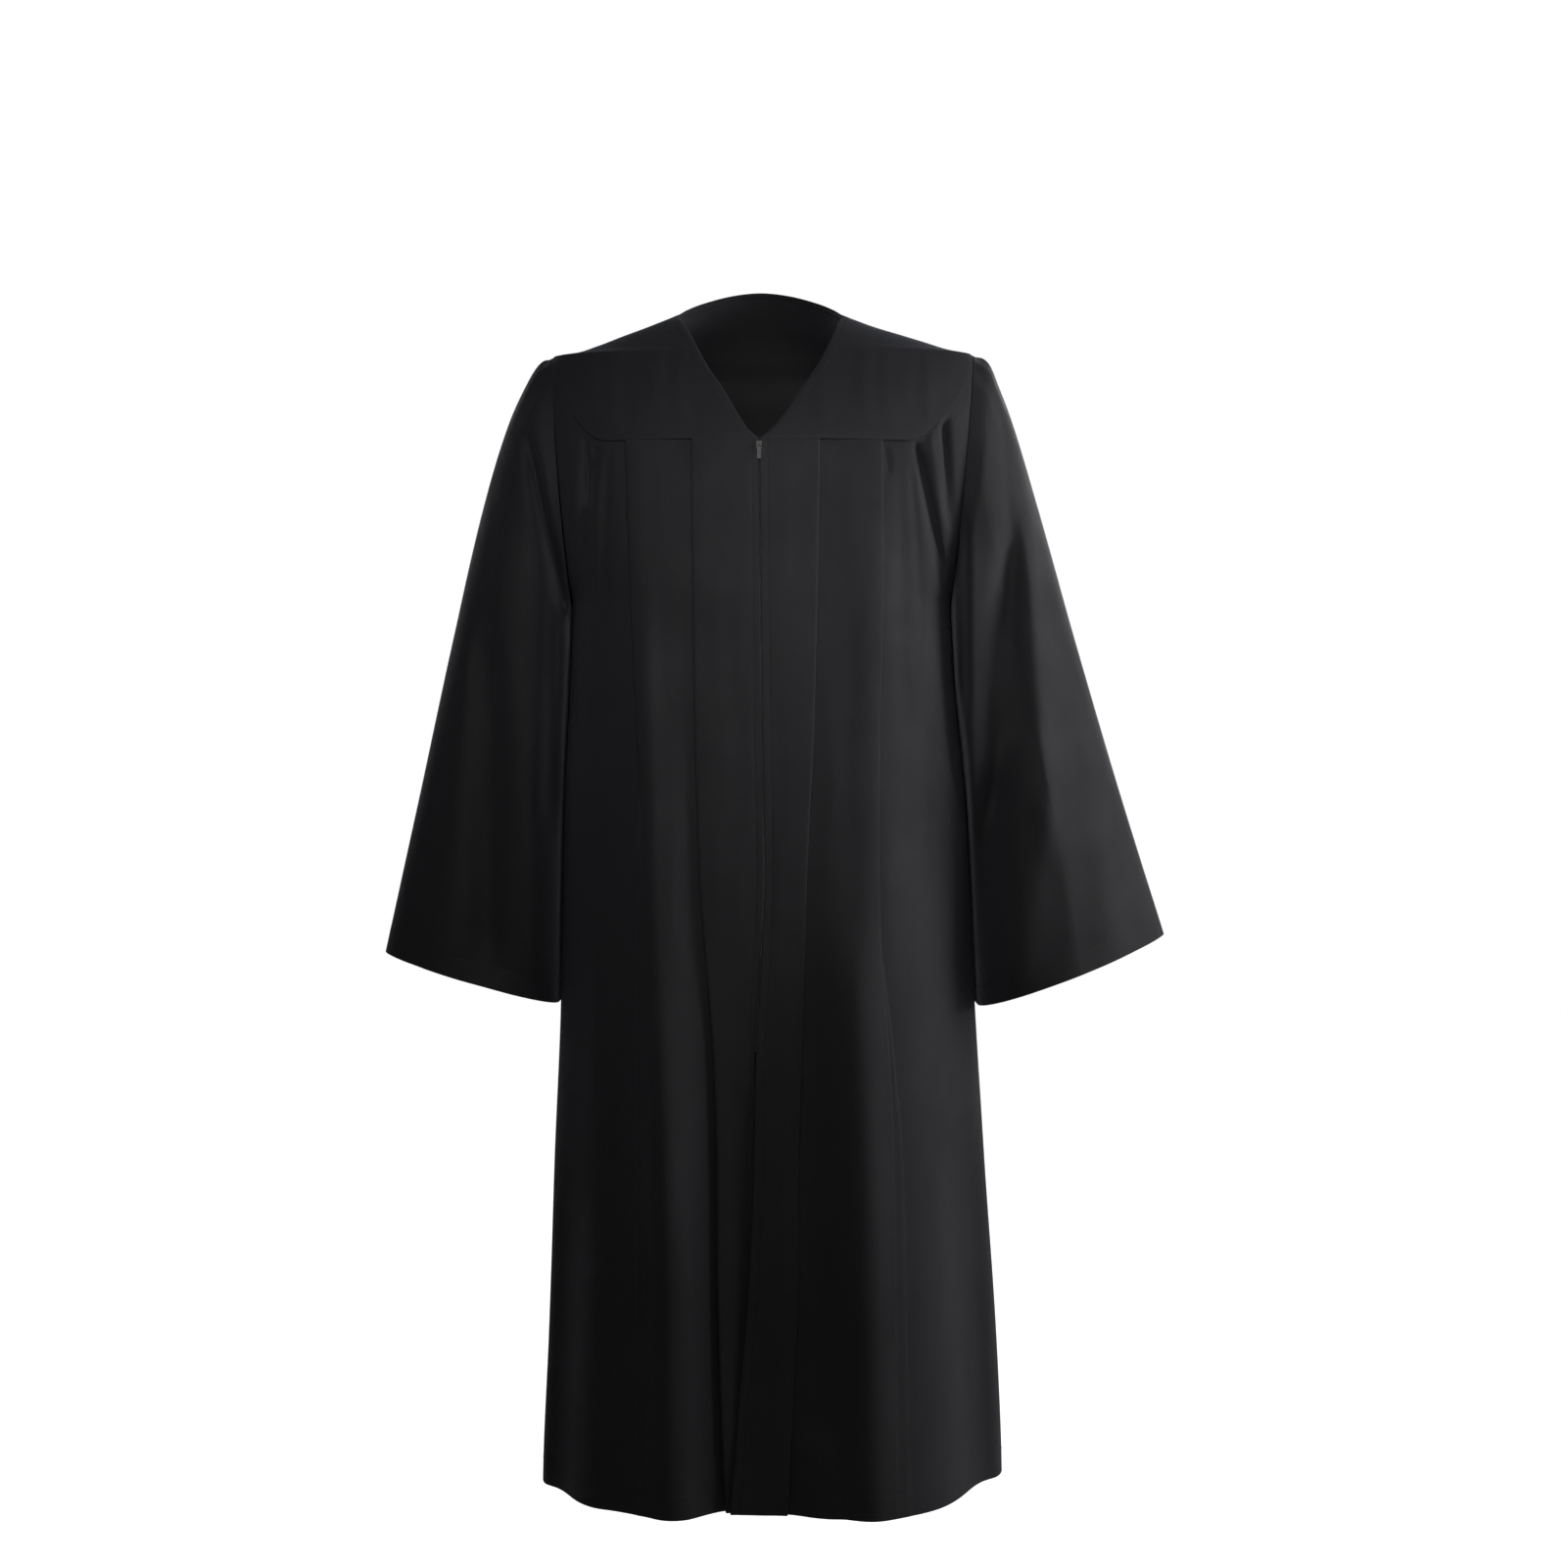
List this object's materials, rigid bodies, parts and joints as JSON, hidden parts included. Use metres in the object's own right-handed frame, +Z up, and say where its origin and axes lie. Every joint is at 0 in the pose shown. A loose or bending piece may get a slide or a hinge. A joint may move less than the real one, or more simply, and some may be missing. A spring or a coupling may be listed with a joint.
{
  "type": "graduation gown",
  "caption": "Knee-length academic gown with yoke, pleated front and back, V neck, bell sleeves and a front zip, filled out as worn.",
  "frame": {"origin": "middle of the neck opening, between the inner ends of the two shoulder seams, where the wearer's neck comes through", "axes": "+Z up along the gown, the front faces -Y, +X towards the wearer's left arm, which is on the right as the front is seen"},
  "size_m": [0.8541, 0.3461, 1.3091],
  "materials": {
    "cloth": "matte black polyester weave",
    "tape": "matte woven tape",
    "zip_metal": "satin"
  },
  "bodies": {
    "gown": {"yoke_front_left": "cloth", "yoke_front_right": "cloth", "yoke_back": "cloth", "front_left": "cloth", "front_right": "cloth", "back": "cloth", "sleeve_left": "cloth", "sleeve_right": "cloth", "zip_tape": "tape", "zip_slider": "zip_metal"},
    "zip_pull": {"zip_pull": "zip_metal"}
  },
  "joints": [
    {"name": "zip_pull_swing", "type": "hinge", "parent": "gown", "child": "zip_pull", "pos_m": [0.0001, -0.11626, -0.15158], "axis": [-1, 0, 0], "range_deg": [0, 160]}
  ]
}
